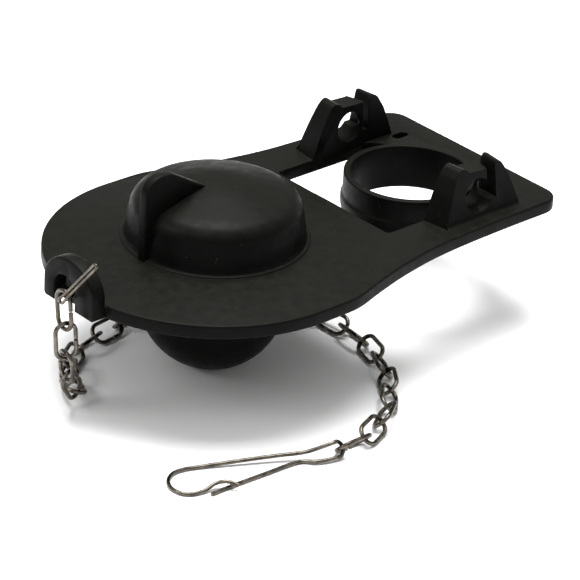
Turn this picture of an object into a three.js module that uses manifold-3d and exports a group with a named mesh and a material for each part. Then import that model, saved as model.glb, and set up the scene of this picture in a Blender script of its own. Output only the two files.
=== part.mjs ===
// Toilet flapper: a moulded rubber flap with a float bulb, a wire clip, a steel chain and a spring hook.
// Millimetres. X runs from the disc to the tail, Y across, Z up. The origin is on the disc's axis,
// in the plane of the disc's flat underside, which is the face that seals.
import * as THREE from "three";
import { mergeVertices } from "three/addons/utils/BufferGeometryUtils.js";
import Module from "manifold-3d";

const wasm = await Module();
wasm.setup();
const { Manifold, Mesh: SolidMesh } = wasm;

// Disc: flat below, gently coned above.
const DISC_RADIUS = 42;
const DISC_THICKNESS = 3.65;
const DISC_EDGE_BREAK = 0.5;
const CONE_TOP_RADIUS = 25.5;
const CONE_RISE = 2.5;

// Dome above the disc and float bulb below it, on one axis.
const DOME_X = 1.2;
const DOME_FILLET_RADIUS = 26.6;
const DOME_WALL_RADIUS = 23.0;
const DOME_WALL_FOOT = 7.4;
const DOME_SHOULDER_RADIUS = 21.4;
const DOME_SHOULDER_Z = 14.2;
const DOME_SHOULDER_ROUND = 4.2;
const DOME_CROWN_Z = 21.9;
const BULB_RADIUS = 18.6;
const BULB_CENTRE_Z = -10.9;
const BULB_NECK_RADIUS = 19.4;

// Fin that stands on the dome, in the plane of symmetry.
const FIN_THICKNESS = 2.7;
const FIN_FRONT_X = -22.6;
const FIN_TOP_Z = 28.0;
const FIN_TOP_X = -16.4;
const FIN_TIP_X = -3.6;
const FIN_TIP_Z = 21.6;
const FIN_CORNER = 5.0;

// Plate behind the disc: two arms round a window, then the tail.
const TAIL_X = 91.3;
const TAIL_HALF_WIDTH = 32.0;
const TAIL_CORNER = 5.2;
const WINDOW_X = 40.4;
const WINDOW_HALF_WIDTH = 21.0;
const WINDOW_END_X = 74.5;
const WINDOW_CORNER = 1.6;
const SLOT_X = 81.6;
const SLOT_Y = 18.9;
const SLOT_LENGTH = 4.8;
const SLOT_WIDTH = 2.4;

// Collar that slips over the overflow tube.
const COLLAR_X = 67.7;
const COLLAR_BORE_RADIUS = 15.3;
const COLLAR_WALL = 2.1;
const COLLAR_OUTER_RADIUS = COLLAR_BORE_RADIUS + COLLAR_WALL;
const COLLAR_TOP_Z = 4.35;
const COLLAR_BOTTOM_Z = -8.5;
const BEAD_RADIUS = COLLAR_OUTER_RADIUS + 0.9;
const BEAD_TOP_Z = -1.6;
const BEAD_BOTTOM_Z = -5.0;

// Ears: two upright walls with a pivot hole each.
const EAR_INNER_Y = 21.0;
const EAR_FOOT_THICKNESS = 6.6;
const EAR_DRAFT = 0.27;
const EAR_WEB_THICKNESS = 2.6;
const EAR_HOLE_X = 65.3;
const EAR_HOLE_Z = 9.9;
const EAR_HOLE_RADIUS = 4.1;
const EAR_BOSS_RADIUS = 6.3;
const EAR_BOSS_THICKNESS = 6.0;
const EAR_TOP_Z = 18.1;

// Lug on the disc's front edge, a half-round tab with an arched opening.
const LUG_FRONT_X = -DISC_RADIUS - 3;
const LUG_BACK_X = -DISC_RADIUS + 0.8;
const LUG_HALF_WIDTH = 9.7;
const LUG_SPRING_Z = 5.2;
const LUG_TOP_Z = 13.15;
const LUG_MOUTH_Y = 1.6;
const LUG_MOUTH_HALF_WIDTH = 4.4;
const LUG_MOUTH_TOP_Z = 8.3;

// Wires.
const FLOOR_Z = BULB_CENTRE_Z - BULB_RADIUS;
const GAP = 0.42;
const LINK_WIRE = 1.1;
const LINK_LENGTH = 11.0;
const LINK_WIDTH = 6.2;
const LINK_SEAM = 0.35;
const LINK_PITCH = LINK_LENGTH - 2 * LINK_WIRE - GAP;
const CLIP_WIRE = 0.75;
const HOOK_WIRE = 1.0;

const RUBBER = new THREE.MeshStandardMaterial({ name: "rubber", color: 0x232321, roughness: 0.7 });
const STEEL = new THREE.MeshStandardMaterial({ name: "steel", color: 0x9a958c, roughness: 0.35, metalness: 1 });

// Turn a closed three.js geometry into a solid that booleans accept.
function solid(geometry) {
  const bare = geometry.clone();
  bare.deleteAttribute("normal");
  bare.deleteAttribute("uv");
  const welded = mergeVertices(bare, 1e-4);
  const mesh = new SolidMesh({
    numProp: 3,
    vertProperties: Float32Array.from(welded.attributes.position.array),
    triVerts: Uint32Array.from(welded.index.array),
  });
  mesh.merge();
  return new Manifold(mesh);
}

// Turn a solid back into a geometry.
function geometryOf(body) {
  const mesh = body.getMesh();
  const count = mesh.numProp;
  const total = mesh.vertProperties.length / count;
  const points = new Float32Array(total * 3);
  for (let i = 0; i < total; i += 1) {
    points[3 * i] = mesh.vertProperties[count * i];
    points[3 * i + 1] = mesh.vertProperties[count * i + 1];
    points[3 * i + 2] = mesh.vertProperties[count * i + 2];
  }
  const geometry = new THREE.BufferGeometry();
  geometry.setAttribute("position", new THREE.BufferAttribute(points, 3));
  geometry.setIndex(new THREE.BufferAttribute(Uint32Array.from(mesh.triVerts), 1));
  geometry.computeVertexNormals();
  return geometry;
}

// A solid of revolution about a vertical axis at x, from a profile of [radius, z] that closes on the axis.
function revolve(profile, x, segments) {
  const points = profile.map(([radius, z]) => new THREE.Vector2(radius, z));
  const geometry = new THREE.LatheGeometry(points, segments);
  geometry.rotateX(Math.PI / 2);
  geometry.translate(x, 0, 0);
  return solid(geometry);
}

// A prism from a plan outline in X and Y, between two heights.
function prismUp(outline, low, high) {
  const shape = new THREE.Shape(outline.map(([x, y]) => new THREE.Vector2(x, y)));
  const geometry = new THREE.ExtrudeGeometry(shape, { depth: high - low, bevelEnabled: false, steps: 1 });
  geometry.translate(0, 0, low);
  return solid(geometry);
}

// A prism from a side outline in X and Z, between two Y values.
function prismSide(outline, nearY, farY) {
  const shape = new THREE.Shape(outline.map(([x, z]) => new THREE.Vector2(x, z)));
  const geometry = new THREE.ExtrudeGeometry(shape, { depth: farY - nearY, bevelEnabled: false, steps: 1 });
  geometry.rotateX(Math.PI / 2);
  geometry.translate(0, farY, 0);
  return solid(geometry);
}

// A prism from an end outline in Y and Z, between two X values.
function prismEnd(outline, nearX, farX) {
  const shape = new THREE.Shape(outline.map(([y, z]) => new THREE.Vector2(y, z)));
  const geometry = new THREE.ExtrudeGeometry(shape, { depth: farX - nearX, bevelEnabled: false, steps: 1 });
  const turn = new THREE.Matrix4().set(0, 0, 1, nearX, 1, 0, 0, 0, 0, 1, 0, 0, 0, 0, 0, 1);
  geometry.applyMatrix4(turn);
  return solid(geometry);
}

// Points of an arc in the outline's own plane, angles in degrees.
function arc(cx, cy, rx, ry, from, to, steps) {
  const points = [];
  for (let i = 0; i <= steps; i += 1) {
    const angle = ((from + ((to - from) * i) / steps) * Math.PI) / 180;
    points.push([cx + rx * Math.cos(angle), cy + ry * Math.sin(angle)]);
  }
  return points;
}

function discBody() {
  const edge = DISC_EDGE_BREAK;
  const profile = [
    [0, 0],
    [DISC_RADIUS - edge, 0],
    [DISC_RADIUS, edge],
    [DISC_RADIUS, DISC_THICKNESS - edge],
    [DISC_RADIUS - edge, DISC_THICKNESS],
    [CONE_TOP_RADIUS, DISC_THICKNESS + CONE_RISE],
    [0, DISC_THICKNESS + CONE_RISE],
  ];
  return revolve(profile, 0, 72);
}

function domeBody() {
  const profile = [
    [0, DISC_THICKNESS - 1],
    [DOME_FILLET_RADIUS, DISC_THICKNESS - 1],
    [DOME_FILLET_RADIUS, DISC_THICKNESS + 1.9],
    [24.9, 6.3],
    [23.7, 6.8],
    [DOME_WALL_RADIUS, DOME_WALL_FOOT + 0.7],
    [22.4, 10.6],
    [DOME_SHOULDER_RADIUS + 0.3, DOME_SHOULDER_Z - 1.2],
    ...arc(
      DOME_SHOULDER_RADIUS - DOME_SHOULDER_ROUND,
      DOME_SHOULDER_Z,
      DOME_SHOULDER_ROUND,
      DOME_SHOULDER_ROUND,
      6,
      76,
      5,
    ),
    [15.4, 18.95],
    [12.0, 19.95],
    [8.6, 20.9],
    [4.4, 21.65],
    [0, DOME_CROWN_Z],
  ];
  return revolve(profile, DOME_X, 60);
}

function bulbBody() {
  const start = 22;
  const arcPoints = arc(0, BULB_CENTRE_Z, BULB_RADIUS, BULB_RADIUS, start, -90, 14).reverse();
  const profile = [
    [0, FLOOR_Z],
    ...arcPoints.slice(1),
    [BULB_NECK_RADIUS - 1.2, -2.2],
    [BULB_NECK_RADIUS, 1.0],
    [0, 1.0],
  ];
  return revolve(profile, DOME_X, 48);
}

function finBody() {
  const half = FIN_THICKNESS / 2;
  const outline = [
    [FIN_FRONT_X, DISC_THICKNESS],
    [FIN_TIP_X + 2, DISC_THICKNESS + 6],
    [FIN_TIP_X + 2, FIN_TIP_Z - 1.4],
    [FIN_TIP_X, FIN_TIP_Z],
    [FIN_TOP_X + 1.2, FIN_TOP_Z - 0.5],
    ...arc(FIN_FRONT_X + FIN_CORNER, FIN_TOP_Z - FIN_CORNER, FIN_CORNER, FIN_CORNER, 84, 180, 6),
  ];
  return prismSide(outline, -half, half);
}

// Half the plan outline, from the disc to the tail's end: the arms draw in from the disc in one sweep.
function halfPlan() {
  const sweep = new THREE.SplineCurve([
    new THREE.Vector2(2, DISC_RADIUS),
    new THREE.Vector2(12, DISC_RADIUS - 0.4),
    new THREE.Vector2(21, DISC_RADIUS - 3.0),
    new THREE.Vector2(30, DISC_RADIUS - 5.5),
    new THREE.Vector2(38.8, DISC_RADIUS - 7.4),
    new THREE.Vector2(46.7, TAIL_HALF_WIDTH + 1.4),
    new THREE.Vector2(56, TAIL_HALF_WIDTH + 0.7),
    new THREE.Vector2(70, TAIL_HALF_WIDTH + 0.2),
    new THREE.Vector2(TAIL_X - TAIL_CORNER, TAIL_HALF_WIDTH),
  ]);
  const points = sweep.getPoints(22).map((point) => [point.x, point.y]);
  const corner = arc(TAIL_X - TAIL_CORNER, TAIL_HALF_WIDTH - TAIL_CORNER, TAIL_CORNER, TAIL_CORNER, 78, 0, 5);
  return [[0, DISC_RADIUS], ...points, ...corner];
}

function plateBody() {
  const far = halfPlan();
  const near = far.map(([x, y]) => [x, -y]).reverse();
  return prismUp([...near, ...far], 0, DISC_THICKNESS);
}

function windowTool() {
  const r = WINDOW_CORNER;
  const w = WINDOW_HALF_WIDTH;
  const back = 5;
  const outline = [
    ...arc(WINDOW_X + r, -w + r, r, r, 180, 270, 3),
    ...arc(WINDOW_END_X - back, -w + back, back, back, 270, 360, 5),
    ...arc(WINDOW_END_X - back, w - back, back, back, 0, 90, 5),
    ...arc(WINDOW_X + r, w - r, r, r, 90, 180, 3),
  ];
  return prismUp(outline, -1, DISC_THICKNESS + 1);
}

function slotTool(side) {
  const r = SLOT_WIDTH / 2;
  const half = SLOT_LENGTH / 2 - r;
  const outline = [
    ...arc(SLOT_X + half, side * SLOT_Y, r, r, -90, 90, 6),
    ...arc(SLOT_X - half, side * SLOT_Y, r, r, 90, 270, 6),
  ];
  return prismUp(outline, -1, DISC_THICKNESS + 1);
}

function collarBody() {
  const profile = [
    [0, COLLAR_BOTTOM_Z],
    [COLLAR_OUTER_RADIUS - 0.5, COLLAR_BOTTOM_Z],
    [COLLAR_OUTER_RADIUS, COLLAR_BOTTOM_Z + 1.2],
    [BEAD_RADIUS, BEAD_BOTTOM_Z + 0.8],
    [BEAD_RADIUS, BEAD_TOP_Z - 0.8],
    [COLLAR_OUTER_RADIUS, BEAD_TOP_Z],
    [COLLAR_OUTER_RADIUS - 0.1, COLLAR_TOP_Z - 0.5],
    [COLLAR_OUTER_RADIUS - 0.5, COLLAR_TOP_Z],
    [0, COLLAR_TOP_Z],
  ];
  return revolve(profile, COLLAR_X, 56);
}

function collarTool() {
  const profile = [
    [0, COLLAR_BOTTOM_Z - 1],
    [COLLAR_BORE_RADIUS, COLLAR_BOTTOM_Z - 1],
    [COLLAR_BORE_RADIUS, COLLAR_TOP_Z + 1],
    [0, COLLAR_TOP_Z + 1],
  ];
  return revolve(profile, COLLAR_X, 56);
}

// One ear on the far side, y positive: a drafted wall with two ribs and a boss, recessed between them.
// Places along x are read from the hole's centre, and the heights near the top from the top edge.
function earBody() {
  const foot = DISC_THICKNESS - 1.2;
  const outer = EAR_INNER_Y + EAR_FOOT_THICKNESS;
  const at = (x, z) => [EAR_HOLE_X + x, z];
  const edge = EAR_TOP_Z;
  const side = [
    at(-13.6, foot),
    at(15.1, foot),
    at(15.0, 4.2),
    at(13.3, 10.2),
    at(11.3, 15.0),
    at(9.9, edge - 1.8),
    at(5.1, edge + 1.2),
    at(4.3, edge + 1.1),
    at(3.6, edge),
    at(-5.3, edge),
    at(-6.9, edge + 1.3),
    at(-8.1, edge + 1.6),
    at(-9.7, edge + 0.9),
    at(-11.3, edge - 0.9),
    at(-12.9, 9.0),
  ];
  const block = prismSide(side, EAR_INNER_Y, outer);
  const pocketFloor = EAR_INNER_Y + EAR_WEB_THICKNESS;
  const frontPocket = [
    at(-7.7, DISC_THICKNESS + 1.2),
    at(0.7, DISC_THICKNESS + 1.2),
    at(0.7, edge + 3.9),
    at(-5.7, edge + 3.9),
    at(-6.7, 12),
  ];
  const rearPocket = [
    at(-0.3, DISC_THICKNESS + 1.2),
    at(6.1, DISC_THICKNESS + 1.2),
    at(5.7, 12),
    at(4.7, edge + 3.9),
    at(-0.3, edge + 3.9),
  ];
  const boss = cylinderSide(EAR_HOLE_X, EAR_HOLE_Z, EAR_BOSS_RADIUS, pocketFloor - 0.5, EAR_INNER_Y + EAR_BOSS_THICKNESS, 28);
  const hole = cylinderSide(EAR_HOLE_X, EAR_HOLE_Z, EAR_HOLE_RADIUS, EAR_INNER_Y - 1, outer + 1, 28);
  const grooveOutline = [at(4.1, 12.2), at(5.4, 12.2), at(5.6, edge + 2.9), at(4.3, edge + 2.9)];
  const groove = prismSide(grooveOutline, EAR_INNER_Y - 1, EAR_INNER_Y + 1.1);
  const slope = Math.tan(EAR_DRAFT);
  const top = 24;
  const draftTool = prismEnd(
    [
      [outer + 0.02, DISC_THICKNESS],
      [outer + 12, DISC_THICKNESS],
      [outer + 12, top],
      [outer - slope * (top - DISC_THICKNESS), top],
    ],
    EAR_HOLE_X - 20.3,
    EAR_HOLE_X + 24.7,
  );
  return block
    .subtract(prismSide(frontPocket, pocketFloor, outer + 1))
    .subtract(prismSide(rearPocket, pocketFloor, outer + 1))
    .subtract(draftTool)
    .add(boss)
    .subtract(hole)
    .subtract(groove);
}

// A cylinder along Y.
function cylinderSide(x, z, radius, nearY, farY, segments) {
  const geometry = new THREE.CylinderGeometry(radius, radius, farY - nearY, segments);
  geometry.translate(x, (nearY + farY) / 2, z);
  return solid(geometry);
}

function lugBody() {
  const w = LUG_HALF_WIDTH;
  const dome = arc(0, LUG_SPRING_Z, w, LUG_TOP_Z - LUG_SPRING_Z, 0, 180, 16);
  const outline = [[-w, 0.7], [-w + 0.9, 0], [w - 0.9, 0], [w, 0.7], ...dome];
  const tab = prismEnd(outline, LUG_FRONT_X, LUG_BACK_X);
  const top = DISC_THICKNESS - 0.3;
  const foot = prismEnd([[-w, 0.7], [-w + 0.9, 0], [w - 0.9, 0], [w, 0.7], [w, top], [-w, top]], LUG_FRONT_X, 5 - DISC_RADIUS);
  return tab.add(foot);
}

function lugTool() {
  const w = LUG_MOUTH_HALF_WIDTH;
  const y = LUG_MOUTH_Y;
  const rise = 3.6;
  const mouth = [
    [y - w, -1],
    [y + w, -1],
    ...arc(y, LUG_MOUTH_TOP_Z - rise, w, rise, 0, 180, 10),
  ];
  const above = [
    [y - w, DISC_THICKNESS],
    [y + w, DISC_THICKNESS],
    ...arc(y, LUG_MOUTH_TOP_Z - rise, w, rise, 0, 180, 10),
  ];
  return prismEnd(mouth, LUG_FRONT_X - 1, LUG_BACK_X - 1).add(prismEnd(above, LUG_BACK_X - 1.8, LUG_BACK_X + 1));
}

function flapperBody() {
  const ear = earBody();
  const otherEar = ear.mirror([0, 1, 0]);
  return plateBody()
    .add(discBody())
    .subtract(windowTool())
    .add(collarBody())
    .subtract(collarTool())
    .subtract(slotTool(1))
    .subtract(slotTool(-1))
    .add(ear)
    .add(otherEar)
    .add(lugBody())
    .subtract(lugTool())
    .add(domeBody())
    .add(bulbBody())
    .add(finBody());
}

// A curve through stops that are already close enough: each stop is one ring of the swept wire.
class StopCurve extends THREE.Curve {
  constructor(stops) {
    super();
    this.stops = stops;
  }

  getPoint(t, target = new THREE.Vector3()) {
    const last = this.stops.length - 1;
    const place = Math.min(Math.max(t, 0), 1) * last;
    const index = Math.min(Math.floor(place + 1e-9), last - 1);
    return target.copy(this.stops[index]).lerp(this.stops[index + 1], place - index);
  }

  getPointAt(t, target) {
    return this.getPoint(t, target);
  }

  getTangentAt(t, target = new THREE.Vector3()) {
    const last = this.stops.length - 1;
    const index = Math.min(Math.max(Math.round(t * last), 0), last);
    const into = this.stops[Math.min(index + 1, last)].clone().sub(this.stops[Math.min(index, last - 1)]).normalize();
    const outOf = this.stops[Math.max(index, 1)].clone().sub(this.stops[Math.max(index - 1, 0)]).normalize();
    return target.copy(into).add(outOf).normalize();
  }
}

// Leave out the stops that a straight line between their neighbours already passes within the slack.
function thin(points, slack) {
  if (points.length < 3) {
    return points;
  }
  const line = new THREE.Line3(points[0], points[points.length - 1]);
  const foot = new THREE.Vector3();
  let worst = 0;
  let at = 0;
  for (let i = 1; i < points.length - 1; i += 1) {
    const away = line.closestPointToPoint(points[i], true, foot).distanceTo(points[i]);
    if (away > worst) {
      worst = away;
      at = i;
    }
  }
  if (worst <= slack) {
    return [points[0], points[points.length - 1]];
  }
  return [...thin(points.slice(0, at + 1), slack).slice(0, -1), ...thin(points.slice(at), slack)];
}

// A round wire along a smooth curve through the points given.
function wire(points, diameter, slack, sides) {
  const route = points.map((point) => new THREE.Vector3(...point));
  const curve = new THREE.CatmullRomCurve3(route, false, "centripetal");
  return sweep(thin(curve.getPoints(points.length * 16), slack), diameter, sides);
}

function sweep(stops, diameter, sides) {
  const ring = arc(0, 0, diameter / 2, diameter / 2, 0, 360 - 360 / sides, sides - 1);
  const shape = new THREE.Shape(ring.map(([x, y]) => new THREE.Vector2(x, y)));
  const settings = { extrudePath: new StopCurve(stops), steps: stops.length - 1, bevelEnabled: false };
  return geometryOf(solid(new THREE.ExtrudeGeometry(shape, settings)));
}

// The centre line of one link: a stadium that starts and ends at its butt seam, halfway along one side.
function linkStops() {
  const r = (LINK_WIDTH - LINK_WIRE) / 2;
  const half = (LINK_LENGTH - LINK_WIRE) / 2 - r;
  const turns = 6;
  const seam = LINK_SEAM / 2;
  const line = [[seam, -r], ...arc(half, 0, r, r, -90, 90, turns), ...arc(-half, 0, r, r, 90, 270, turns), [-seam, -r]];
  return line.map(([x, y]) => new THREE.Vector3(x, y, 0));
}

const linkShape = sweep(linkStops(), LINK_WIRE, 7);

// Where the chain hangs from the clip and folds on the floor: one point for each joint between two links.
const LYING_Z = FLOOR_Z + 2.5;
const HANGING_JOINTS = [
  [LUG_FRONT_X - 1.8, -0.4, 5.0],
  [LUG_FRONT_X - 2.2, -1.9, -3.2],
  [LUG_FRONT_X - 1.6, -1.9, -11.5],
  [LUG_FRONT_X + 0.4, 0.2, -19.2],
  [LUG_FRONT_X + 5.1, 2.2, -25.4],
  [LUG_FRONT_X + 8.6, 9.0, LYING_Z],
];

// The rest lies on the floor: round behind the bulb, under the arm and out to the hook.
const FLOOR_ROUTE = [
  HANGING_JOINTS[HANGING_JOINTS.length - 1],
  [-32.0, 15.4, LYING_Z],
  [-25.4, 20.2, LYING_Z],
  [-18.0, 23.0, LYING_Z],
  [-8.0, 24.8, LYING_Z],
  [0.0, 25.6, LYING_Z],
  [8.0, 25.6, LYING_Z],
  [20.0, 21.0, LYING_Z],
  [30.0, 12.0, LYING_Z],
  [36.4, 2.0, LYING_Z],
  [37.2, -8.0, LYING_Z],
  [37.0, -16.0, LYING_Z],
  [35.2, -23.6, LYING_Z],
  [32.0, -31.0, LYING_Z],
  [26.4, -39.4, LYING_Z],
  [19.8, -46.6, LYING_Z],
  [11.8, -52.0, LYING_Z],
  [3.2, -55.2, LYING_Z],
  [-8.4, -54.8, LYING_Z],
];

// Step along the route one pitch at a time.
function chainJoints() {
  const hanging = HANGING_JOINTS.map((point) => new THREE.Vector3(...point));
  const curve = new THREE.CatmullRomCurve3(FLOOR_ROUTE.map((point) => new THREE.Vector3(...point)), false, "centripetal");
  const joints = [...hanging];
  for (const point of curve.getPoints(4000)) {
    if (point.distanceTo(joints[joints.length - 1]) >= LINK_PITCH) {
      joints.push(point);
    }
  }
  return joints;
}

// Place a link between two joints, rolled about its own length by an angle in degrees.
function placeLink(from, to, roll) {
  const along = to.clone().sub(from).normalize();
  const upGuess = Math.abs(along.z) > 0.9 ? new THREE.Vector3(0, 1, 0) : new THREE.Vector3(0, 0, 1);
  const across = new THREE.Vector3().crossVectors(upGuess, along).normalize();
  const normal = new THREE.Vector3().crossVectors(along, across);
  const turn = new THREE.Quaternion().setFromAxisAngle(along, (roll * Math.PI) / 180);
  across.applyQuaternion(turn);
  normal.applyQuaternion(turn);
  const matrix = new THREE.Matrix4().makeBasis(along, across, normal);
  matrix.setPosition(from.clone().add(to).multiplyScalar(0.5));
  return linkShape.clone().applyMatrix4(matrix);
}

function addMesh(group, name, geometry, material) {
  const mesh = new THREE.Mesh(geometry, material);
  mesh.name = name;
  group.add(mesh);
}

const FIRST_ROLL = 45;

// The clip: a hairpin that runs up across the lug's face. At its foot both legs turn back through the
// first link and the lug's opening, and one end stands up behind the lug.
const CLIP_FOOT = new THREE.Vector3(LUG_FRONT_X - 3.7, -1.9, 4.1);
const CLIP_TIP = new THREE.Vector3(LUG_FRONT_X - 1.3, -11.9, 17.2);
const CLIP_SPACING = CLIP_WIRE + 0.16;

function clipWire() {
  const along = CLIP_TIP.clone().sub(CLIP_FOOT).normalize();
  const facing = new THREE.Vector3(-1, 0, 0);
  const aside = new THREE.Vector3().crossVectors(along, facing).normalize();
  const half = CLIP_SPACING / 2;
  const beside = (centre, side, ahead) => centre.clone().addScaledVector(aside, side * half).addScaledVector(along, ahead).toArray();
  const x = LUG_FRONT_X;
  const points = [
    [LUG_BACK_X + 1.6, 0.4, 11.4],
    [LUG_BACK_X + 1.5, 0.6, 8.4],
    [LUG_BACK_X + 0.6, 0.6, 6.0],
    [x + 1.4, 0.4, 4.7],
    [x - 1.2, 0.2, 4.1],
    [x - 2.9, -0.3, 3.6],
    beside(CLIP_FOOT, 1.3, 0),
    beside(CLIP_FOOT, 1.1, 3),
    beside(CLIP_TIP, 1, -1.2),
    beside(CLIP_TIP, 0.9, -0.3),
    beside(CLIP_TIP, 0, 0),
    beside(CLIP_TIP, -0.9, -0.3),
    beside(CLIP_TIP, -1, -1.2),
    beside(CLIP_FOOT, -1.1, 3),
    beside(CLIP_FOOT, -1.3, 0),
    [x - 2.9, -1.2, 3.0],
    [x - 1.2, -0.9, 3.3],
    [x + 1.4, -0.8, 4.1],
    [x + 3.2, -0.8, 5.2],
  ];
  return wire(points, CLIP_WIRE, 0.02, 8);
}

// The spring hook: one wire, a straight spring leg, an eye for the chain, a long leg and a rounded nose with a catch.
const EYE_TILT = Math.PI / 3;
const EYE_RADIUS = 2.0;
const HOOK_Z = FLOOR_Z + HOOK_WIRE / 2;

function hookWire(lastJoint) {
  const centre = new THREE.Vector3(lastJoint.x - EYE_RADIUS + 0.73, lastJoint.y, lastJoint.z);
  const onEye = (degrees) => {
    const angle = (degrees * Math.PI) / 180;
    const across = EYE_RADIUS * Math.sin(angle);
    return [
      centre.x + EYE_RADIUS * Math.cos(angle),
      centre.y + across * Math.cos(EYE_TILT),
      centre.z + across * Math.sin(EYE_TILT),
    ];
  };
  const z = HOOK_Z;
  const points = [
    [-40.7, -50.3, z],
    [-34.7, -50.4, z],
    [-24.0, -50.9, z],
    [-15.0, -51.4, z],
    [-13.0, -52.2, z],
    [-11.2, -54.2, z + 0.2],
    onEye(-115),
    onEye(-70),
    onEye(-25),
    onEye(20),
    onEye(65),
    onEye(110),
    [-11.4, -51.4, z + 1.9],
    [-16.0, -47.9, z + 0.5],
    [-23.5, -44.4, z],
    [-36.0, -38.7, z],
    [-38.6, -37.8, z],
    [-41.8, -37.6, z],
    [-44.9, -39.4, z],
    [-46.6, -42.6, z],
    [-46.2, -45.8, z],
    [-44.4, -47.6, z],
    [-41.2, -48.4, z + 0.2],
    [-37.6, -48.3, z + 0.9],
    [-35.6, -50.0, z + 1.45],
    [-33.9, -52.4, z + 0.9],
  ];
  return wire(points, HOOK_WIRE, 0.03, 8);
}

// Links turn about a quarter from one to the next. The first ones are set by how they hang.
const HANGING_ROLLS = [90, 20, -85, -85, 15, -45];

function rollOf(index) {
  if (index < HANGING_ROLLS.length) {
    return HANGING_ROLLS[index];
  }
  return index % 2 === 0 ? FIRST_ROLL : FIRST_ROLL - 90;
}

const part = new THREE.Group();
part.name = "toilet_flapper";
addMesh(part, "flapper_body", geometryOf(flapperBody()), RUBBER);
addMesh(part, "lug_clip", clipWire(), STEEL);
const joints = chainJoints();
for (let i = 0; i < joints.length - 1; i += 1) {
  const roll = rollOf(i);
  const name = `chain_link_${String(i + 1).padStart(2, "0")}`;
  addMesh(part, name, placeLink(joints[i], joints[i + 1], roll), STEEL);
}

addMesh(part, "spring_hook", hookWire(joints[joints.length - 1]), STEEL);

export default part;
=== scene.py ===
"""Dresses the toilet flapper: moulded rubber, wire clip, link chain and spring hook."""
import logging
import math
from dataclasses import dataclass
from enum import Enum

import bmesh
import bpy
import numpy as np
from mathutils import Matrix, Vector


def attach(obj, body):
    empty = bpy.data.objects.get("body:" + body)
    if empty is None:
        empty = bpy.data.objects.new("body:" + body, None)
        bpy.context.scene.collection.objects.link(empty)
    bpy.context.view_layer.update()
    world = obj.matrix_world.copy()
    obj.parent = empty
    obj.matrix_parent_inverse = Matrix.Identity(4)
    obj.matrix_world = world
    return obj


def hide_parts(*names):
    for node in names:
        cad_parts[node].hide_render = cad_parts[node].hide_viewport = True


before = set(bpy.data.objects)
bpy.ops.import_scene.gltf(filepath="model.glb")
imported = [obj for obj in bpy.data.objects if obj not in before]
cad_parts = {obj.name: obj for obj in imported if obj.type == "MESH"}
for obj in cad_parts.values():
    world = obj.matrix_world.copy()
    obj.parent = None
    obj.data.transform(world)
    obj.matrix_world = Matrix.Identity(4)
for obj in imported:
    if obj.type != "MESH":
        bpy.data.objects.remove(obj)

log = logging.getLogger("flapper")
MM = 0.001
ROOT = "root"
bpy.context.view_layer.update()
Pair = tuple[float, float]
Outline = list[Pair]
Route = list[Vector]


class Slot(Enum):
    """The record's material slots."""

    RUBBER = "rubber"
    STEEL = "steel"


class Join(Enum):
    """How two solids are combined."""

    UNION = "UNION"
    DIFFERENCE = "DIFFERENCE"


# Shapes. All lengths are in millimetres until a mesh is made.

def polar(radius: float, degrees: float, x: float = 0.0, y: float = 0.0) -> Pair:
    """Return a point of a circle."""
    angle = math.radians(degrees)
    return (x + radius * math.cos(angle), y + radius * math.sin(angle))


def arc(centre: Pair, radii: Pair, start: float, end: float, steps: int) -> Outline:
    """Return the points of an arc.

    Args:
        centre: The arc's centre.
        radii: Its half widths along the two axes.
        start: First angle in degrees.
        end: Last angle in degrees.
        steps: Number of chords.

    Returns:
        Points from the first angle to the last.
    """
    points = []
    for i in range(steps + 1):
        angle = math.radians(start + (end - start) * i / steps)
        points.append((centre[0] + radii[0] * math.cos(angle), centre[1] + radii[1] * math.sin(angle)))
    return points


def fillet(points: Outline, radius: float, closed: bool = False, steps: int = 4) -> Outline:
    """Round the corners of a chain of points.

    Args:
        points: Corners in order.
        radius: How far from the corner the rounding starts.
        closed: Whether the last point joins the first.
        steps: Chords for each corner.

    Returns:
        The rounded chain.
    """
    chain = [Vector(point) for point in points]
    count = len(chain)
    rounded = [] if closed else [chain[0]]
    for i in range(0 if closed else 1, count if closed else count - 1):
        before, corner, after = chain[i - 1], chain[i], chain[(i + 1) % count]
        into, out = before - corner, after - corner
        reach = min(radius, into.length * 0.48, out.length * 0.48)
        start, end = corner + into.normalized() * reach, corner + out.normalized() * reach
        for k in range(steps + 1):
            t = k / steps
            rounded.append(start * (1 - t) ** 2 + corner * 2 * t * (1 - t) + end * t * t)
    if not closed:
        rounded.append(chain[-1])
    return [(point.x, point.y) for point in rounded]


def smooth_route(points: list[tuple[float, ...]], steps: int) -> Route:
    """Run a centripetal spline through points.

    Args:
        points: Places that the curve passes through.
        steps: Chords between two places.

    Returns:
        The curve's points.
    """
    knots = [Vector(point) for point in points]
    chain = [2 * knots[0] - knots[1], *knots, 2 * knots[-1] - knots[-2]]
    route = []
    for a, b, c, d in zip(chain, chain[1:], chain[2:], chain[3:]):
        k1 = (b - a).length ** 0.5
        k2 = k1 + (c - b).length ** 0.5
        k3 = k2 + (d - c).length ** 0.5
        for i in range(steps):
            t = k1 + (k2 - k1) * i / steps
            a1 = a * (k1 - t) / k1 + b * t / k1
            a2 = b * (k2 - t) / (k2 - k1) + c * (t - k1) / (k2 - k1)
            a3 = c * (k3 - t) / (k3 - k2) + d * (t - k2) / (k3 - k2)
            b1 = a1 * (k2 - t) / k2 + a2 * t / k2
            b2 = a2 * (k3 - t) / (k3 - k1) + a3 * (t - k1) / (k3 - k1)
            route.append(b1 * (k2 - t) / (k2 - k1) + b2 * (t - k1) / (k2 - k1))
    return [*route, knots[-1]]


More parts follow.
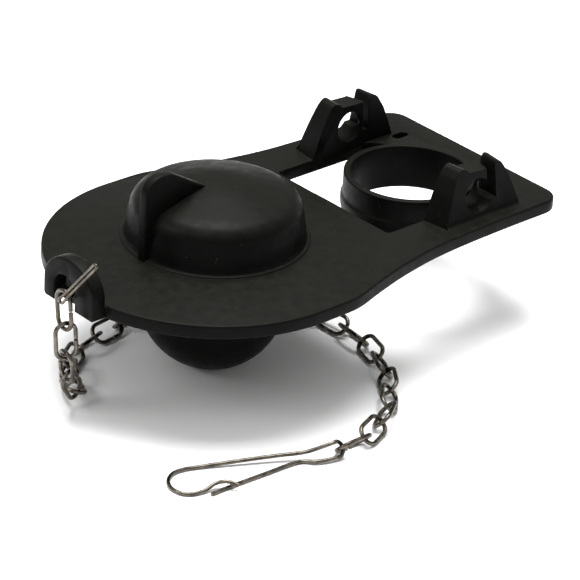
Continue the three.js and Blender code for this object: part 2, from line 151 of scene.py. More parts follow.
def loft(name: str, rings: list[Route], wrap: bool = False) -> bpy.types.Object:
    """Skin closed rings of equal count into one closed solid.

    Args:
        name: The object's name.
        rings: Rings in order, in millimetres.
        wrap: Whether the last ring joins the first; otherwise both ends are capped.

    Returns:
        The new object, in metres.
    """
    shape = bmesh.new()
    rows = [[shape.verts.new(point * MM) for point in ring] for ring in rings]
    pairs = list(zip(rows, rows[1:]))
    if wrap:
        pairs.append((rows[-1], rows[0]))
    for low, high in pairs:
        for i in range(len(low)):
            j = (i + 1) % len(low)
            shape.faces.new((low[i], low[j], high[j], high[i]))
    if not wrap:
        shape.faces.new(list(reversed(rows[0])))
        shape.faces.new(rows[-1])
    bmesh.ops.remove_doubles(shape, verts=shape.verts, dist=1e-7)
    bmesh.ops.recalc_face_normals(shape, faces=shape.faces)
    mesh = bpy.data.meshes.new(name)
    shape.to_mesh(mesh)
    shape.free()
    piece = bpy.data.objects.new(name, mesh)
    bpy.context.scene.collection.objects.link(piece)
    return piece


def turned(
    name: str, profile: list[tuple[float, float, float]], segments: int, wrap: bool = False,
) -> bpy.types.Object:
    """Turn a profile about a vertical axis.

    Args:
        name: The object's name.
        profile: Radius, height and the ring's own centre along X.
        segments: Chords in a full turn.
        wrap: Whether the profile is a closed loop.

    Returns:
        The turned solid.
    """
    rings = []
    for radius, z, x in profile:
        ring = []
        for i in range(segments):
            across, along = polar(radius, 360 * i / segments)
            ring.append(Vector((x + across, along, z)))
        rings.append(ring)
    return loft(name, rings, wrap)


def soften(piece: bpy.types.Object, radius: float, steps: int = 3, angle: float = 50.0) -> bpy.types.Object:
    """Round a solid's sharp edges in its mesh.

    Args:
        piece: The solid.
        radius: Width of the rounding in millimetres.
        steps: Chords across it.
        angle: Edges sharper than this many degrees are rounded.

    Returns:
        The same solid.
    """
    shape = bmesh.new()
    shape.from_mesh(piece.data)
    limit = math.radians(angle)
    sharp = [edge for edge in shape.edges if edge.is_manifold and edge.calc_face_angle(0.0) > limit]
    bmesh.ops.bevel(
        shape, geom=sharp, offset=radius * MM, segments=steps, profile=0.5, affect="EDGES",
        clamp_overlap=True)
    bmesh.ops.recalc_face_normals(shape, faces=shape.faces)
    shape.to_mesh(piece.data)
    shape.free()
    return piece


def combine(base: bpy.types.Object, tool: bpy.types.Object, how: Join) -> bpy.types.Object:
    """Join a solid to another or cut it out of it, and discard the tool.

    Args:
        base: The solid that stays.
        tool: The solid that is added or taken away.
        how: Which of the two.

    Returns:
        The base, with its new mesh.
    """
    modifier = base.modifiers.new("combine", "BOOLEAN")
    modifier.operation = how.value
    modifier.solver = "EXACT"
    modifier.object = tool
    graph = bpy.context.evaluated_depsgraph_get()
    mesh = bpy.data.meshes.new_from_object(base.evaluated_get(graph))
    before = base.data
    base.modifiers.clear()
    base.data = mesh
    bpy.data.meshes.remove(before)
    bpy.data.objects.remove(tool, do_unlink=True)
    return base


def shade(piece: bpy.types.Object, angle: float = 32.0) -> None:
    """Shade a piece smooth, with edges kept where its faces turn by more than an angle in degrees."""
    piece.data.shade_smooth()
    piece.data.set_sharp_from_angle(angle=math.radians(angle))


def sweep(name: str, route: Route, radius: float, sides: int) -> bpy.types.Object:
    """Sweep a round wire along a route, with its two ends slightly broken.

    Args:
        name: The object's name.
        route: Centre line in millimetres.
        radius: The wire's radius.
        sides: Sides of its section.

    Returns:
        The wire.
    """
    last = len(route) - 1
    side = Vector((0.13, 0.21, 0.97))
    rings = []
    for i, place in enumerate(route):
        ahead = (route[min(i + 1, last)] - route[max(i - 1, 0)]).normalized()
        side = (side - ahead * side.dot(ahead)).normalized()
        other = ahead.cross(side)
        ring = [side * c + other * s for c, s in (polar(radius, 360 * k / sides) for k in range(sides))]
        if i in (0, last):
            inward = ahead * (0.2 * radius if i == 0 else -0.2 * radius)
            chamfered = [
                [place + spoke * 0.8 for spoke in ring],
                [place + inward + spoke for spoke in ring]]
            rings.extend(chamfered if i == 0 else reversed(chamfered))
        else:
            rings.append([place + spoke for spoke in ring])
    return loft(name, rings)


def declare(piece: bpy.types.Object, slot: Slot, material: bpy.types.Material, *nodes: str) -> None:
    """Dress a piece, hang it under the root body and hide the CAD nodes that it stands for.

    Args:
        piece: The piece.
        slot: The record's slot for its finish; not used.
        material: Its material.
        nodes: The CAD nodes that it stands for.
    """
    piece.data.materials.clear()
    piece.data.materials.append(material)
    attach(piece, ROOT)
    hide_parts(*nodes)
    log.info("%s stands for %s, %d faces", piece.name, ", ".join(nodes), len(piece.data.polygons))


# Finishes.

def linear(hex_colour: str) -> tuple[float, float, float, float]:
    """Turn an sRGB hex colour into a linear one.

    Args:
        hex_colour: The colour, as a hash and six digits.

    Returns:
        Linear red, green, blue and alpha.
    """
    parts = [int(hex_colour[i:i + 2], 16) / 255 for i in (1, 3, 5)]
    red, green, blue = (c / 12.92 if c <= 0.04045 else ((c + 0.055) / 1.055) ** 2.4 for c in parts)
    return (red, green, blue, 1.0)


def add_node(
    tree: bpy.types.NodeTree, kind: str, settings: dict | None = None, links: dict | None = None,
) -> bpy.types.Node:
    """Add one shader node.

    Args:
        tree: The material's node tree.
        kind: The node's type name.
        settings: Properties by name, or values of inputs by number or name.
        links: Output sockets to join, by the input's number or name.

    Returns:
        The new node.
    """
    node = tree.nodes.new(kind)
    for name, value in (settings or {}).items():
        if isinstance(name, str) and hasattr(node, name):
            setattr(node, name, value)
        else:
            node.inputs[name].default_value = value
    for name, socket in (links or {}).items():
        tree.links.new(socket, node.inputs[name])
    return node


def shade_ramp(node: bpy.types.Node, stops: list[tuple[float, str]]) -> None:
    """Set the stops of a colour ramp.

    Args:
        node: The ramp's node.
        stops: Each stop's place from 0 to 1 and its hex colour.
    """
    ramp = node.color_ramp
    while len(ramp.elements) < len(stops):
        ramp.elements.new(0.5)
    for element, (place, colour) in zip(ramp.elements, stops):
        element.position = place
        element.color = linear(colour)


def noise(
    tree: bpy.types.NodeTree, place: bpy.types.NodeSocket, size_mm: float, detail: float,
) -> bpy.types.NodeSocket:
    """Add a noise pattern.

    Args:
        tree: The material's node tree.
        place: The point on the piece.
        size_mm: Size of the pattern's largest spots.
        detail: How many finer layers it has.

    Returns:
        The pattern's value.
    """
    settings = {"Scale": 1 / (size_mm * MM), "Detail": detail}
    node = add_node(tree, "ShaderNodeTexNoise", settings, {"Vector": place})
    return node.outputs["Fac"]


@dataclass(frozen=True)
class MouldedRubber:
    """Black flapper rubber, compression moulded: satin, fine grained, with upward faces paler, part real dust
    and part painted top light.
    """

    name: str = "moulded_black_rubber"
    deep: str = "#040504"
    body: str = "#090a08"
    # Paler tone for upward faces: part real dust, part painted top light that makes tops lighter than the
    # sides.
    dust_and_top_light: str = "#1e1f1a"
    speck: str = "#3a3b34"
    cloud_mm: float = 9.0
    patch_spot_mm: float = 2.4
    speck_mm: float = 0.8
    grain_mm: float = 0.3
    waviness_mm: float = 6.0
    edge_mm: float = 0.3
    smoothest: float = 0.34
    roughest: float = 0.5
    ior: float = 1.5
    specular_level: float = 0.05

    def make(self) -> bpy.types.Material:
        """Build the material.

        Returns:
            The material.
        """
        material = bpy.data.materials.new(self.name)
        material.use_nodes = True
        tree = material.node_tree
        shader = tree.nodes["Principled BSDF"]
        place = add_node(tree, "ShaderNodeTexCoord").outputs["Object"]
        clouds = noise(tree, place, self.cloud_mm, 4.0)
        spots = noise(tree, place, self.patch_spot_mm, 5.0)
        base = add_node(tree, "ShaderNodeValToRGB", {}, {"Fac": clouds})
        shade_ramp(base, [(0.3, self.deep), (0.72, self.body)])
        # Upward faces are mixed toward the paler tone in patches: part real dust, part painted light from
        # above that lifts the tops over the sides.
        facing = add_node(tree, "ShaderNodeNewGeometry")
        height = add_node(tree, "ShaderNodeSeparateXYZ", {}, {0: facing.outputs["Normal"]})
        upward_faces = add_node(
            tree, "ShaderNodeMapRange", {1: 0.25, 2: 1.0, 3: 0.0, 4: 0.6}, {0: height.outputs["Z"]})
        patchy = add_node(tree, "ShaderNodeMapRange", {1: 0.3, 2: 0.75, 3: 0.6, 4: 1.0}, {0: spots})
        dust_and_light_mask = add_node(
            tree, "ShaderNodeMath", {"operation": "MULTIPLY"}, {0: upward_faces.outputs[0], 1: patchy.outputs[0]})
        dust_and_light_mixed = add_node(
            tree, "ShaderNodeMix", {"data_type": "RGBA", 7: linear(self.dust_and_top_light)},
            {0: dust_and_light_mask.outputs[0], 6: base.outputs["Color"]})
        lint = add_node(
            tree, "ShaderNodeMapRange", {1: 0.75, 2: 0.82, 3: 0.0, 4: 0.6},
            {0: noise(tree, place, self.speck_mm, 1.0)})
        colour = add_node(
            tree, "ShaderNodeMix", {"data_type": "RGBA", 7: linear(self.speck)},
            {0: lint.outputs[0], 6: dust_and_light_mixed.outputs[2]})
        rough = add_node(
            tree, "ShaderNodeMapRange", {1: 0.3, 2: 0.7, 3: self.smoothest, 4: self.roughest}, {0: spots})
        waves = noise(tree, place, self.waviness_mm, 1.0)
        grain = noise(tree, place, self.grain_mm, 2.0)
        round_edge = add_node(tree, "ShaderNodeBevel", {"samples": 6, "Radius": self.edge_mm * MM})
        wavy = add_node(
            tree, "ShaderNodeBump", {"Strength": 0.5, "Distance": 0.00025},
            {"Height": waves, "Normal": round_edge.outputs[0]})
        bump = add_node(
            tree, "ShaderNodeBump", {"Strength": 0.22, "Distance": 0.00009},
            {"Height": grain, "Normal": wavy.outputs[0]})
        tree.links.new(colour.outputs[2], shader.inputs["Base Color"])
        tree.links.new(rough.outputs[0], shader.inputs["Roughness"])
        tree.links.new(bump.outputs[0], shader.inputs["Normal"])
        shader.inputs["IOR"].default_value = self.ior
        shader.inputs["Specular IOR Level"].default_value = self.specular_level
        return material


@dataclass(frozen=True)
class DrawnSteelWire:
    """Stainless wire, cold drawn and tumbled: a dull grey metal with darker grime between its bright rubs."""

    name: str = "drawn_stainless_wire"
    bright: str = "#716b62"
    dull: str = "#4a453f"
    patch_mm: float = 2.4
    scratch_mm: float = 0.22
    smoothest: float = 0.2
    roughest: float = 0.34

    def make(self) -> bpy.types.Material:
        """Build the material.

        Returns:
            The material.
        """
        material = bpy.data.materials.new(self.name)
        material.use_nodes = True
        tree = material.node_tree
        shader = tree.nodes["Principled BSDF"]
        place = add_node(tree, "ShaderNodeTexCoord").outputs["Object"]
        patches = noise(tree, place, self.patch_mm, 3.0)
        colour = add_node(tree, "ShaderNodeValToRGB", {}, {"Fac": patches})
        shade_ramp(colour, [(0.35, self.dull), (0.65, self.bright)])
        rough = add_node(
            tree, "ShaderNodeMapRange", {1: 0.3, 2: 0.7, 3: self.smoothest, 4: self.roughest}, {0: patches})
        bump = add_node(
            tree, "ShaderNodeBump", {"Strength": 0.12, "Distance": 0.00004},
            {"Height": noise(tree, place, self.scratch_mm, 2.0)})
        tree.links.new(colour.outputs["Color"], shader.inputs["Base Color"])
        tree.links.new(rough.outputs[0], shader.inputs["Roughness"])
        tree.links.new(bump.outputs[0], shader.inputs["Normal"])
        shader.inputs["Metallic"].default_value = 1.0
        return material


@dataclass(frozen=True)
class PaperSweep:
    """White paper sweep, matt: barely mottled, so that it reads as plain."""

    name: str = "white_paper_sweep"
    light: str = "#fdfdfd"
    shade: str = "#f9f9f9"
    mottle_mm: float = 60.0

    def make(self) -> bpy.types.Material:
        """Build the material.

        Returns:
            The material.
        """
        material = bpy.data.materials.new(self.name)
        material.use_nodes = True
        tree = material.node_tree
        shader = tree.nodes["Principled BSDF"]
        place = add_node(tree, "ShaderNodeTexCoord").outputs["Object"]
        colour = add_node(tree, "ShaderNodeValToRGB", {}, {"Fac": noise(tree, place, self.mottle_mm, 2.0)})
        shade_ramp(colour, [(0.3, self.shade), (0.7, self.light)])
        tree.links.new(colour.outputs["Color"], shader.inputs["Base Color"])
        shader.inputs["Roughness"].default_value = 0.9
        return material


@dataclass
class Moulding:
    """The rubber flap in one piece: disc and arms, dome, float bulb, fin, collar, ears and lug."""

    disc_radius: float = 42.0
    thickness: float = 3.65
    rim_round: float = 0.6
    dome_x: float = 1.2
    bulb_radius: float = 18.6
    bulb_centre_z: float = -10.9
    tail_x: float = 91.3
    tail_half_width: float = 32.0
    tail_corner: float = 5.2
    window_x: float = 40.4
    window_half_width: float = 21.0
    window_end_x: float = 74.5
    collar_x: float = 67.7
    bore_radius: float = 15.5
    collar_radius: float = 17.4
    collar_top_z: float = 4.35
    collar_bottom_z: float = -7.7
    bead_radius: float = 17.9
    ear_y: float = 21.0
    ear_foot: float = 7.5
    ear_draft: float = 0.172
    ear_taper: float = 0.92
    hole_x: float = 65.2
    hole_z: float = 9.8
    hole_radius: float = 4.15
    ear_top_z: float = 15.8
    slit_from_hole: float = 5.4
    slit_half_width: float = 0.9
    slit_floor_z: float = 7.6
    lug_half_width: float = 9.7
    mouth_y: float = 1.6
    mouth_z: float = 4.7
    mouth_half_width: float = 3.9
    mouth_rise: float = 3.6
    fin_half_width: float = 1.35
    cone_foot_radius: float = 41.35
    cone_top_radius: float = 24.6
    plate_hole_radius: float = 16.4
    slot_front_x: float = 80.4
    slot_back_x: float = 82.8
    slot_y: float = 18.9
    slot_radius: float = 1.2

    def outline(self) -> Outline:
        """Draw the plan of the disc, the arms and the tail.

        Returns:
            One closed chain of points.
        """
        r, w, c = self.disc_radius, self.tail_half_width, self.tail_corner
        arm = smooth_route([
            (2, r), (12, r - 0.4), (21, r - 3.0), (30, r - 5.5), (38.8, r - 7.4), (46.7, w + 1.4),
            (56, w + 0.7), (70, w + 0.2), (self.tail_x - c, w)], 9)
        far = [(point.x, point.y) for point in arm]
        far.extend(arc((self.tail_x - c, w - c), (c, c), 82, 0, 9))
        front = arc((0, 0), (r, r), 268, 92, 110)
        return [*[(x, -y) for x, y in reversed(far)], *front, *far]

    def plate(self) -> bpy.types.Object:
        """Build the flat plate with its rounded rim, window and slots.

        Returns:
            The plate.
        """
        plan = self.outline()
        rings = [[Vector((x, y, z)) for x, y in plan] for z in (0.0, self.thickness)]
        plate = soften(loft("plate", rings), self.rim_round, 4)
        combine(plate, self.window_tool(), Join.DIFFERENCE)
        for side in (1, -1):
            combine(plate, self.slot_tool(side), Join.DIFFERENCE)
        r, x = self.plate_hole_radius, self.collar_x
        bore = turned("bore", [(0, -1, x), (r, -1, x), (r, 5, x), (0, 5, x)], 96)
        return combine(plate, bore, Join.DIFFERENCE)

    def flared(self, name: str, plan: list[Outline], edge: float) -> bpy.types.Object:
        """Build a cutting tool whose ends flare, so that the cut's edges come out rounded.

        Args:
            name: The tool's name.
            plan: Three plans: as cut, grown a little, and grown fully.
            edge: How deep the flare reaches below a face.

        Returns:
            The tool.
        """
        narrow, middle, wide = plan
        top = self.thickness
        levels = [(-1.0, wide), (0.0, wide), (edge * 0.25, middle), (edge, narrow)]
        levels += [(top - edge, narrow), (top - edge * 0.25, middle), (top, wide), (top + 3.0, wide)]
        return loft(name, [[Vector((x, y, z)) for x, y in points] for z, points in levels])

    def window_tool(self) -> bpy.types.Object:
        """Build the tool for the window between the arms.

        Returns:
            The tool.
        """
        plans = []
        for grow in (0.0, 0.12, 0.4):
            front, back = 1.1 + grow, 5.0 + grow
            w, x0, x1 = self.window_half_width + grow, self.window_x - grow, self.window_end_x + grow
            plans.append([
                *arc((x0 + front, -w + front), (front, front), 180, 270, 4),
                *arc((x1 - back, -w + back), (back, back), 270, 360, 10),
                *arc((x1 - back, w - back), (back, back), 0, 90, 10),
                *arc((x0 + front, w - front), (front, front), 90, 180, 4)])
        return self.flared("window", plans, 0.4)

    def slot_tool(self, side: int) -> bpy.types.Object:
        """Build the tool for one small slot in the tail.

        Args:
            side: 1 for the far slot, -1 for the near one.

        Returns:
            The tool.
        """
        plans = []
        for grow in (0.0, 0.08, 0.25):
            r = self.slot_radius + grow
            plans.append([
                *arc((self.slot_back_x, side * self.slot_y), (r, r), -90, 90, 12),
                *arc((self.slot_front_x, side * self.slot_y), (r, r), 90, 270, 12)])
        return self.flared("slot", plans, 0.3)

    def core(self) -> bpy.types.Object:
        """Build what is turned on the disc's axis: cone, dome with its lip, and the float bulb below.

        Returns:
            The turned solid, with the window cut from its cone.
        """
        bulb = arc((0, self.bulb_centre_z), (self.bulb_radius, self.bulb_radius), -90, 22, 44)
        neck = fillet([bulb[-1], (18.2, -2.4), (19.4, -0.9), (19.6, 1.8)], 1.2)
        cone_foot = (self.cone_foot_radius, self.thickness + 0.01)
        rim = [(self.cone_foot_radius, 1.8), cone_foot]
        wall = fillet([
            cone_foot, (24.4, 6.12), (23.7, 6.12), (23.62, 6.5), (23.2, 6.68), (22.9, 6.68),
            (22.6, 7.6), (22.25, 10.8), (21.72, 13.4)], 0.35, steps=3)
        shoulder = smooth_route([
            (21.72, 0, 13.4), (21.35, 0, 14.9), (20.6, 0, 16.3), (19.3, 0, 17.5), (17.6, 0, 18.3),
            (15.2, 0, 19.05), (12.0, 0, 19.95), (8.6, 0, 20.85), (4.4, 0, 21.62), (0, 0, 21.9)], 7)
        chain = [*bulb[:-1], *neck, *rim, *wall[1:], *[(max(p.x, 0.0), p.z) for p in shoulder[1:]]]
        profile = []
        for radius, z in chain:
            reach = self.cone_foot_radius - self.cone_top_radius
            out = min(max((radius - self.cone_top_radius) / reach, 0.0), 1.0)
            profile.append((radius, z, self.dome_x * (1 - out)))
        core = turned("core", profile, 180)
        return combine(core, self.window_tool(), Join.DIFFERENCE)

    def collar(self) -> bpy.types.Object:
        """Build the ring that slips over the overflow tube, with its bead.

        Returns:
            The ring.
        """
        r, inner, top, low = self.collar_radius, self.bore_radius, self.collar_top_z, self.collar_bottom_z
        loop = fillet([
            (inner, low), (r - 0.4, low), (r, low + 1.3), (self.bead_radius, -4.3), (self.bead_radius, -2.3),
            (r, -1.5), (r, top), (inner, top)], 0.55, closed=True, steps=4)
        return turned("collar", [(radius, z, self.collar_x) for radius, z in loop], 128, wrap=True)

    def ear(self, side: int) -> bpy.types.Object:
        """Build one ear.

        Args:
            side: 1 for the far ear, -1 for the near one.

        Returns:
            The ear: a drafted wall with the peg's hole, and a notch that opens it to the top edge.
        """
        top, foot = self.ear_top_z, 0.7
        at = [
            (-13.4, foot), (15.8, foot), (15.3, 3.6), (13.4, 8.6), (11.6, 12.6), (9.2, top + 0.4),
            (8.0, top + 1.2), (6.9, top + 1.4), (6.2, top + 0.2), (2.0, top), (-3.1, top + 0.3),
            (-4.2, top + 1.4), (-5.6, top + 2.0), (-6.9, top + 1.3), (-8.0, top - 0.3), (-9.9, 11.2),
            (-12.7, 3.6)]
        outline = fillet([(self.hole_x + x, z) for x, z in at], 0.5, closed=True)
        slope = math.tan(self.ear_draft)
        inner = [Vector((x, side * (self.ear_y - 0.02), z)) for x, z in outline]
        outer = []
        for x, z in outline:
            reach = self.ear_y + self.ear_foot - slope * (z - self.thickness)
            outer.append(Vector((self.hole_x + (x - self.hole_x) * self.ear_taper, side * reach, z)))
        ear = loft("ear", [inner, outer])
        rim = self.ear_y + self.ear_foot - slope * (self.hole_z - self.thickness)
        hole = arc((self.hole_x, self.hole_z), (self.hole_radius, self.hole_radius), 0, 352.5, 47)
        flare = [
            (20.0, 0.35), (20.98, 0.35), (21.1, 0.1), (21.35, 0.0), (rim - 0.9, 0.0), (rim + 0.3, 0.6),
            (rim + 8, 1.2)]
        combine(ear, self.across("hole", hole, side, flare), Join.DIFFERENCE)
        slit, half = self.hole_x + self.slit_from_hole, self.slit_half_width
        plan = [
            (slit - half, 19.5), (slit + half, 19.5), (slit + 0.5, 31.0), (slit - 3.6, 31.0),
            (slit - half, 21.1)]
        rings = [[Vector((x, side * y, z)) for x, y in plan] for z in (self.slit_floor_z, 22.0)]
        combine(ear, loft("notch", rings), Join.DIFFERENCE)
        base = self.ear_y + self.ear_foot
        cove = [
            (base - 0.6, 3.0), (base + 1.1, 3.0), (base + 1.1, 3.66), (base + 0.45, 3.8), (base, 4.15),
            (base - 0.35, 4.9), (base - 0.6, 4.9)]
        ends = [[Vector((x, side * y, z)) for y, z in cove] for x in (self.hole_x - 11.6, self.hole_x + 13.8)]
        return combine(ear, loft("cove", ends), Join.UNION)

    def across(
        self, name: str, outline: Outline, side: int, levels: list[Pair],
    ) -> bpy.types.Object:
        """Build a tool that runs across the part.

        Args:
            name: The tool's name.
            outline: Its outline in X and Z.
            side: Which ear it is for.
            levels: Places along Y, each with how much the outline grows there about the hole.

        Returns:
            The tool.
        """
        rings = []
        for y, grow in levels:
            scale = 1 + grow / self.hole_radius
            rings.append([
                Vector((
                    self.hole_x + (x - self.hole_x) * scale, side * y,
                    self.hole_z + (z - self.hole_z) * scale))
                for x, z in outline])
        return loft(name, rings)

    def lug(self) -> bpy.types.Object:
        """Build the half-round lug on the front edge, with its arched mouth.

        Returns:
            The lug.
        """
        w, front, back = self.lug_half_width, -self.disc_radius - 3.0, -self.disc_radius + 0.8
        outline = [(-w, 0.7), (-w + 0.9, 0), (w - 0.9, 0), (w, 0.7), *arc((0, 5.2), (w, 7.95), 0, 180, 40)]
        tab = soften(loft("lug", [[Vector((x, y, z)) for y, z in outline] for x in (front, back)]), 0.6, 3)
        sole = [
            (-w + 0.1, 0.8), (-w + 0.9, 0.02), (w - 0.9, 0.02), (w - 0.1, 0.8), (w - 0.1, 3.35),
            (-w + 0.1, 3.35)]
        ends = [[Vector((x, y, z)) for y, z in sole] for x in (front + 1.5, -37.0)]
        combine(tab, loft("sole", ends), Join.UNION)
        arch = arc((self.mouth_y, self.mouth_z), (self.mouth_half_width, self.mouth_rise), 0, 180, 24)
        left, right = -2.3, 5.5
        mouth = [(left, -1.0), (right, -1.0), *arch]
        above = [(left, self.thickness), (right, self.thickness), *arch]
        middle = Vector((0, self.mouth_y, self.mouth_z))
        through = [
            (front - 1, 1.1), (front - 0.01, 1.1), (front + 0.15, 1.03), (front + 0.5, 1.0), (back - 1, 1.0)]
        behind = [(back - 1.8, 1.0), (back + 1, 1.0)]
        for name, plan, levels in (("mouth", mouth, through), ("above", above, behind)):
            rings = []
            for x, scale in levels:
                rings.append([
                    Vector((
                        x, middle.y + (y - middle.y) * scale,
                        z if z < 4 else middle.z + (z - middle.z) * scale))
                    for y, z in plan])
            combine(tab, loft(name, rings), Join.DIFFERENCE)
        return tab

    def fin(self) -> bpy.types.Object:
        """Build the upright fin on the dome.

        Returns:
            The fin.
        """
        outline = [
            (-22.6, 4.2), (-1.6, 9.0), (-1.6, 20.3), (-3.0, 21.2), (-14.4, 27.9),
            *arc((-17.4, 23.2), (5.2, 5.0), 76, 180, 14)]
        rings = [[Vector((x, y, z)) for x, z in outline] for y in (-self.fin_half_width, self.fin_half_width)]
        return soften(loft("fin", rings), 0.35, 3)

    def build(self, material: bpy.types.Material) -> bpy.types.Object:
        """Join all the parts of the moulding and dress it.

        Args:
            material: The rubber.

        Returns:
            The finished moulding.
        """
        flap = self.plate()
        combine(flap, self.core(), Join.UNION)
        for part in (self.collar(), self.ear(1), self.ear(-1), self.lug(), self.fin()):
            combine(flap, part, Join.UNION)
        flap.name = "rubber_moulding"
        shade(flap)
        declare(flap, Slot.RUBBER, material, "flapper_body")
        return flap


@dataclass
class LinkChain:
    """The chain: each link is one bent wire with a butt seam, set where its CAD link is."""

    wire: float = 1.1
    length: float = 11.0
    width: float = 6.2
    seam: float = 0.35
    sides: int = 14

    def centre_line(self) -> Route:
        """Draw a link's centre line in its own plane.

        Returns:
            Its points, from one side of the seam to the other.
        """
        r = (self.width - self.wire) / 2
        half = (self.length - self.wire) / 2 - r
        line = [(self.seam / 2, -r), (half * 0.5, -r), *arc((half, 0), (r, r), -90, 90, 18)]
        line += [(0, r), *arc((-half, 0), (r, r), 90, 270, 18), (-half * 0.5, -r), (-self.seam / 2, -r)]
        return [Vector((x, y, 0)) for x, y in line]

    def place_of(self, node: bpy.types.Object) -> Matrix:
        """Find where a CAD link is.

        Args:
            node: The CAD link.

        Returns:
            The matrix, in millimetres, from a link's own plane to its place.
        """
        points = np.array([tuple(vertex.co) for vertex in node.data.vertices]) / MM
        _, axes = np.linalg.eigh(np.cov((points - points.mean(0)).T))
        along, across = axes[:, 2], axes[:, 1]
        spans = [(points @ axis) for axis in (along, across, np.cross(along, across))]
        middles = [(span.min() + span.max()) / 2 for span in spans]
        near_seam = spans[1][np.abs(spans[0] - middles[0]) < 0.4]
        if len(near_seam) and near_seam.mean() > middles[1]:
            across, middles[1] = -across, -middles[1]
            middles[2] = -middles[2]
        normal = np.cross(along, across)
        centre = along * middles[0] + across * middles[1] + normal * middles[2]
        turn = Matrix((Vector(along), Vector(across), Vector(normal))).transposed().to_4x4()
        return Matrix.Translation(Vector(centre)) @ turn

    def build(self, material: bpy.types.Material) -> None:
        """Build every link and dress it.

        Args:
            material: The wire's finish.
        """
        for name in sorted(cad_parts):
            if not name.startswith("chain_link"):
                continue
            place = self.place_of(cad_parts[name])
            route = [place @ point for point in self.centre_line()]
            link = sweep(name.replace("chain_link", "bent_link"), route, self.wire / 2, self.sides)
            shade(link)
            declare(link, Slot.STEEL, material, name)


@dataclass
class LugClip:
    """The hairpin clip on the lug: two legs up its face, turned back through the link and the mouth."""

    wire: float = 0.75
    front_x: float = -45.0
    back_x: float = -41.2

    def route(self) -> Route:
        """Draw the wire's centre line.

        Returns:
            Its points.
        """
        foot = Vector((self.front_x - 3.7, -1.9, 4.1))
        tip = Vector((self.front_x - 1.3, -11.9, 17.2))
        along = (tip - foot).normalized()
        aside = along.cross(Vector((-1, 0, 0))).normalized() * (self.wire + 0.16) / 2
        x, b = self.front_x, self.back_x
        legs = [
            (foot, 1.3, 0), (foot, 1.1, 3), (tip, 1, -1.2), (tip, 0.9, -0.3), (tip, 0, 0),
            (tip, -0.9, -0.3), (tip, -1, -1.2), (foot, -1.1, 3), (foot, -1.3, 0)]
        hairpin = [tuple(place + aside * beside + along * ahead) for place, beside, ahead in legs]
        return smooth_route([
            (b + 1.6, 0.4, 11.4), (b + 1.5, 0.6, 8.4), (b + 0.6, 0.6, 6.0), (x + 1.4, 0.4, 4.7),
            (x - 1.2, 0.2, 4.1), (x - 2.9, -0.3, 3.6), *hairpin, (x - 2.9, -1.2, 3.0),
            (x - 1.2, -0.9, 3.3), (x + 1.4, -0.8, 4.1), (x + 3.2, -0.8, 5.2)], 8)

    def build(self, material: bpy.types.Material) -> None:
        """Build the clip and dress it.

        Args:
            material: The wire's finish.
        """
        clip = sweep("hairpin_clip", self.route(), self.wire / 2, 14)
        shade(clip)
        declare(clip, Slot.STEEL, material, "lug_clip")


@dataclass
class SpringHook:
    """The hook at the chain's end: one wire with a spring leg, an eye, a long leg and a caught nose."""

    wire: float = 1.0
    z: float = -29.0
    eye_radius: float = 2.0
    eye_tilt_deg: float = 60.0
    last_joint: tuple[float, float, float] = (-4.09, -55.12, -27.0)

    def on_eye(self, degrees: float) -> tuple[float, float, float]:
        """Find a point of the eye.

        Args:
            degrees: Its angle round the eye.

        Returns:
            The point.
        """
        across, rise = polar(self.eye_radius, degrees)
        tilt = math.radians(self.eye_tilt_deg)
        x, y, z = self.last_joint
        return (x - self.eye_radius + 0.73 + across, y + rise * math.cos(tilt), z + rise * math.sin(tilt))

    def route(self) -> Route:
        """Draw the wire's centre line.

        Returns:
            Its points.
        """
        z = self.z
        return smooth_route([
            (-40.7, -50.3, z), (-34.7, -50.4, z), (-24.0, -50.9, z), (-15.0, -51.4, z), (-13.0, -52.2, z),
            (-11.2, -54.2, z + 0.2), *[self.on_eye(a) for a in (-115, -70, -25, 20, 65, 110)],
            (-11.4, -51.2, z + 1.7), (-17.6, -47.8, z + 1.2), (-26.8, -43.1, z + 0.6), (-36.0, -38.7, z),
            (-38.6, -37.8, z), (-41.8, -37.6, z), (-44.9, -39.4, z), (-46.6, -42.6, z), (-46.2, -45.8, z),
            (-44.4, -47.6, z), (-41.2, -48.4, z + 0.2), (-37.6, -48.3, z + 0.9), (-35.6, -50.0, z + 1.45),
            (-33.9, -52.4, z + 0.9)], 10)

    def build(self, material: bpy.types.Material) -> None:
        """Build the hook and dress it.

        Args:
            material: The wire's finish.
        """
        hook = sweep("wire_hook", self.route(), self.wire / 2, 16)
        shade(hook)
        declare(hook, Slot.STEEL, material, "spring_hook")


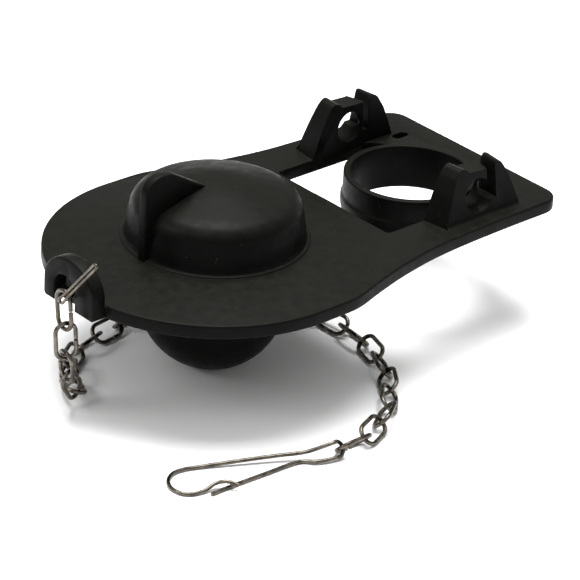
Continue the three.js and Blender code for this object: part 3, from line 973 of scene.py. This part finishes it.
@dataclass
class Studio:
    """The camera at the photograph's angle, the paper sweep and the soft lights."""

    azimuth_deg: float = -132.94
    elevation_deg: float = 28.03
    roll_deg: float = 3.34
    distance_mm: float = 876.82
    target_mm: tuple[float, float, float] = (0.30, -29.31, 3.65)
    lens_mm: float = 224.51
    floor_z_mm: float = -29.55

    def toward_camera(self) -> Vector:
        """Find the way to the camera.

        Returns:
            The unit vector from the target to it.
        """
        azimuth, elevation = math.radians(self.azimuth_deg), math.radians(self.elevation_deg)
        flat = math.cos(elevation)
        return Vector((flat * math.cos(azimuth), flat * math.sin(azimuth), math.sin(elevation)))

    def place_camera(self) -> None:
        """Make the scene's camera."""
        data = bpy.data.cameras.new("photo_camera")
        data.lens = self.lens_mm
        data.sensor_fit = "HORIZONTAL"
        data.sensor_width = 36.0
        data.clip_end = 20.0
        camera = bpy.data.objects.new("photo_camera", data)
        bpy.context.scene.collection.objects.link(camera)
        back = self.toward_camera()
        right = Vector((0, 0, 1)).cross(back).normalized()
        up = back.cross(right)
        roll = math.radians(self.roll_deg)
        across = math.cos(roll) * right + math.sin(roll) * up
        upward = math.cos(roll) * up - math.sin(roll) * right
        place = Vector(self.target_mm) * MM + back * self.distance_mm * MM
        turn = Matrix((across, upward, back)).transposed().to_4x4()
        camera.matrix_world = Matrix.Translation(place) @ turn
        bpy.context.scene.camera = camera

    def lay_floor(self) -> None:
        """Lay the paper sweep under the part."""
        mesh = bpy.data.meshes.new("paper_floor")
        sheet = bmesh.new()
        bmesh.ops.create_grid(sheet, x_segments=8, y_segments=8, size=3.0)
        sheet.to_mesh(mesh)
        sheet.free()
        floor = bpy.data.objects.new("paper_floor", mesh)
        bpy.context.scene.collection.objects.link(floor)
        floor.location = (0, 0, self.floor_z_mm * MM)
        mesh.materials.append(PaperSweep().make())

    def light(self, name: str, place: Vector, size: float, power: float) -> None:
        """Hang one soft light.

        Args:
            name: The light's name.
            place: Where it hangs, in metres.
            size: The light's side in metres.
            power: Watts.
        """
        data = bpy.data.lights.new(name, "AREA")
        data.shape = "SQUARE"
        data.size = size
        data.energy = power
        lamp = bpy.data.objects.new(name, data)
        bpy.context.scene.collection.objects.link(lamp)
        lamp.location = place
        lamp.rotation_euler = (-place).to_track_quat("-Z", "Y").to_euler()

    def light_all(self) -> None:
        """Hang the lights and set the room's own glow."""
        world = bpy.data.worlds.new("studio_glow")
        bpy.context.scene.world = world
        world.use_nodes = True
        tree = world.node_tree
        glow = tree.nodes["Background"]
        around = add_node(tree, "ShaderNodeTexCoord").outputs["Generated"]
        height = add_node(tree, "ShaderNodeSeparateXYZ", {}, {0: around}).outputs["Z"]
        walls = add_node(tree, "ShaderNodeValToRGB", {}, {"Fac": height})
        shade_ramp(walls, [(0.0, "#a8a8a8"), (0.4, "#a4a4a2"), (0.85, "#ffffff")])
        tree.links.new(walls.outputs["Color"], glow.inputs["Color"])
        glow.inputs["Strength"].default_value = 1.0
        self.light("top_box", Vector((0.1, 0.15, 1.1)), 0.7, 20.0)
        self.light("left_box", Vector((-1.0, 0.3, 0.75)), 0.4, 4.0)


def main() -> None:
    """Build the studio, then each sub-assembly in turn."""
    bpy.context.scene.view_settings.view_transform = "Standard"
    studio = Studio()
    studio.place_camera()
    studio.lay_floor()
    studio.light_all()
    rubber = MouldedRubber().make()
    steel = DrawnSteelWire().make()
    for name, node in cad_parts.items():
        node.data.materials.clear()
        node.data.materials.append(rubber if name == "flapper_body" else steel)
    Moulding().build(rubber)
    LugClip().build(steel)
    LinkChain().build(steel)
    SpringHook().build(steel)


if __name__ == "__main__":
    logging.basicConfig(level=logging.INFO)
    main()
